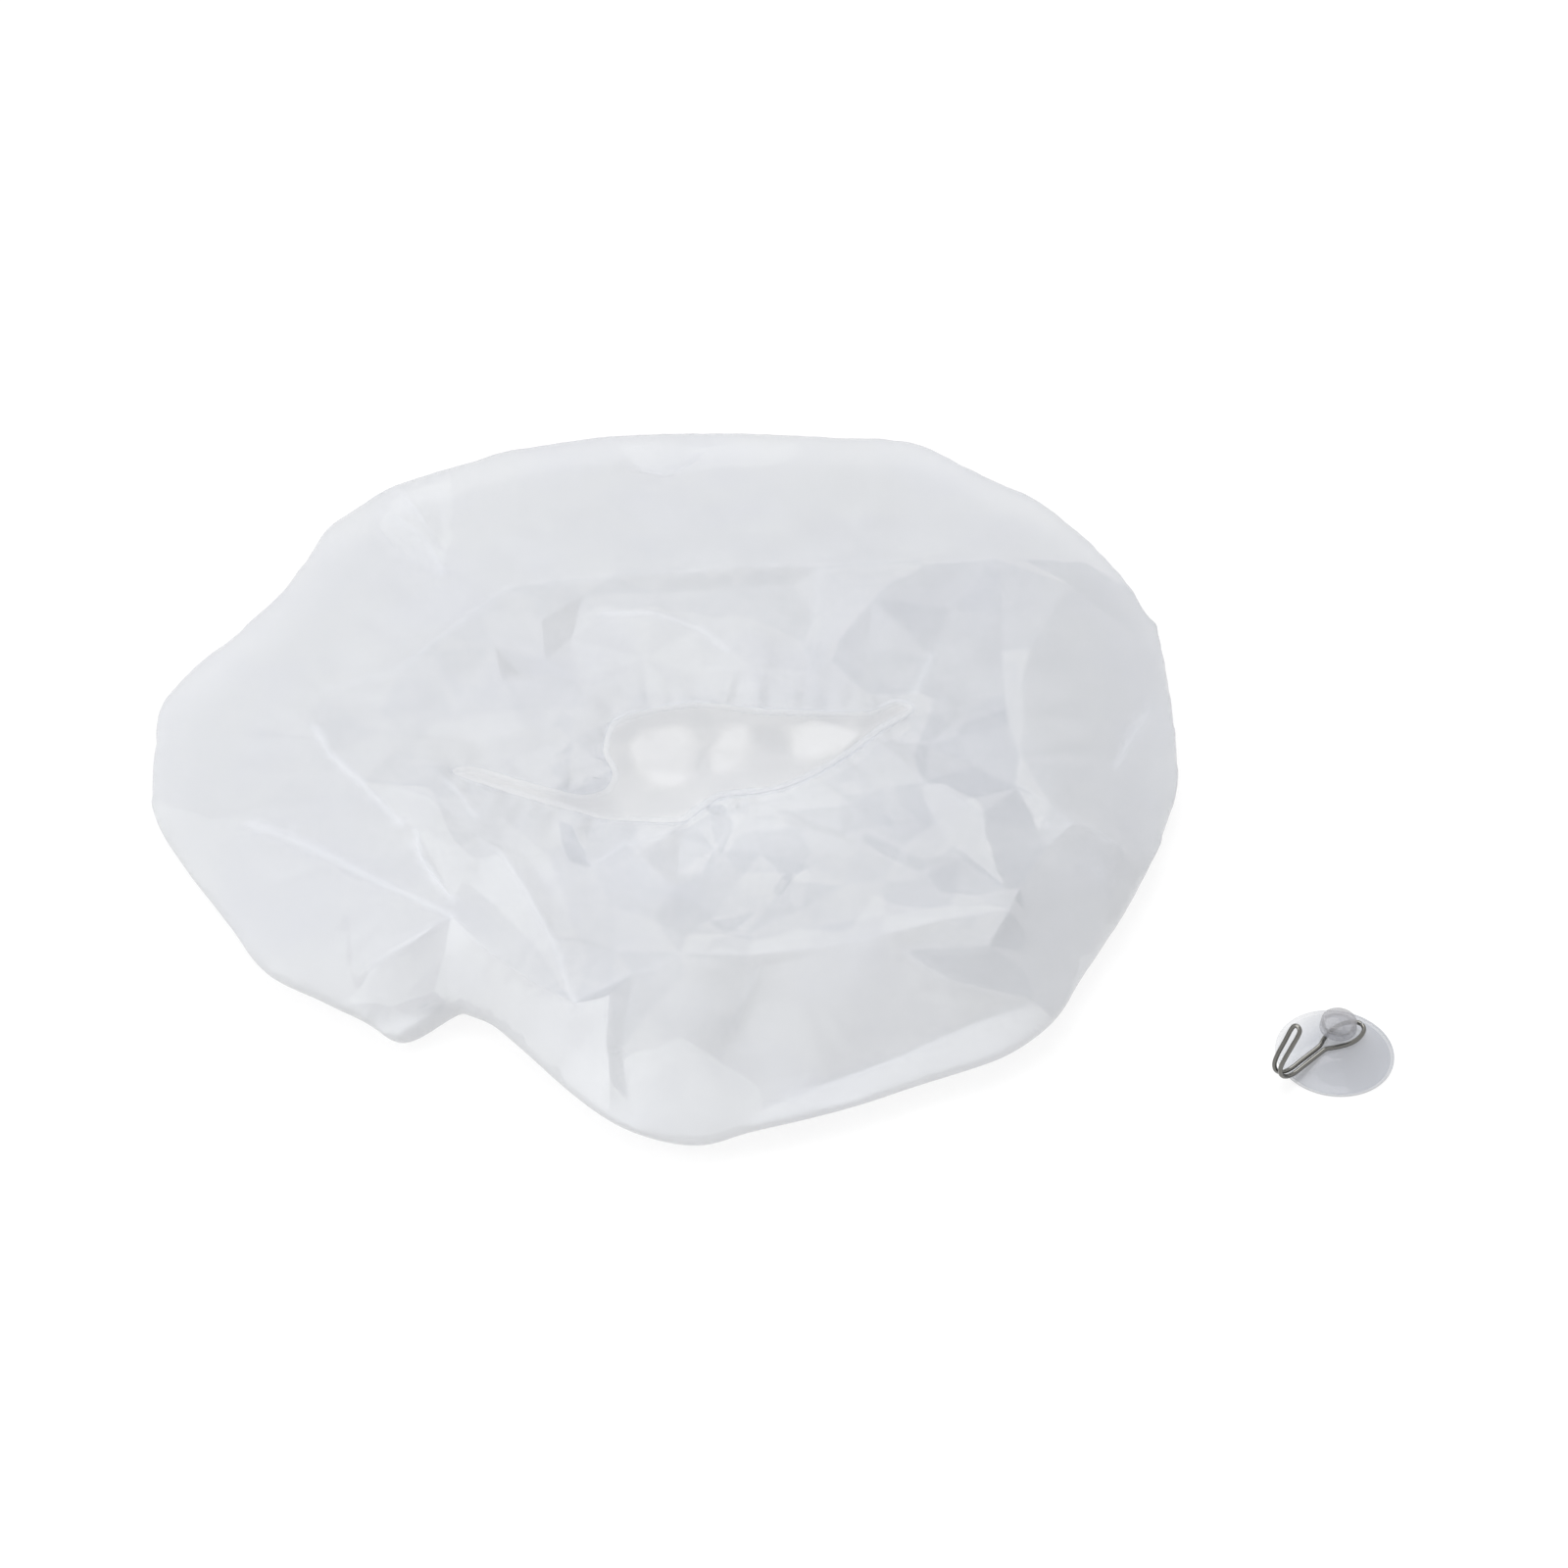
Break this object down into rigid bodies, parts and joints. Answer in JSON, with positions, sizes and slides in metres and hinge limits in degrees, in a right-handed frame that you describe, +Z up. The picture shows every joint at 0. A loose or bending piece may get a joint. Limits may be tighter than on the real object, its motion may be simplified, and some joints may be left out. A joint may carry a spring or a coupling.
{
  "type": "shower cap",
  "caption": "Clear film shower cap with an elastic mouth, lying crown down, with its wire hook on a suction cup.",
  "frame": {"origin": "middle of the crown, on the surface that the cap lies on", "axes": "+Z up out of the mouth, +X along the cap's width towards the suction cup hook, +Y away from the camera of the picture"},
  "size_m": [0.4157, 0.3664, 0.039],
  "materials": {
    "film": "satin",
    "hem_film": "satin",
    "elastic": "matte",
    "soft_vinyl": "gloss",
    "plated_wire": "polished"
  },
  "bodies": {
    "cap": {"film_cap": "film", "hem_casing": "hem_film", "elastic_loop": "elastic"},
    "cup": {"suction_cup": "soft_vinyl"},
    "hook": {"wire_hook": "plated_wire"}
  },
  "joints": [
    {"name": "hook_set_lift", "type": "slide", "parent": "cap", "child": "cup", "axis": [0, 0, 1], "range_m": [0, 0.06]},
    {"name": "hook_swivel", "type": "hinge", "parent": "cup", "child": "hook", "pos_m": [0.2175, -0.1295, 0.007], "axis": [0, 0, 1], "continuous": true}
  ]
}
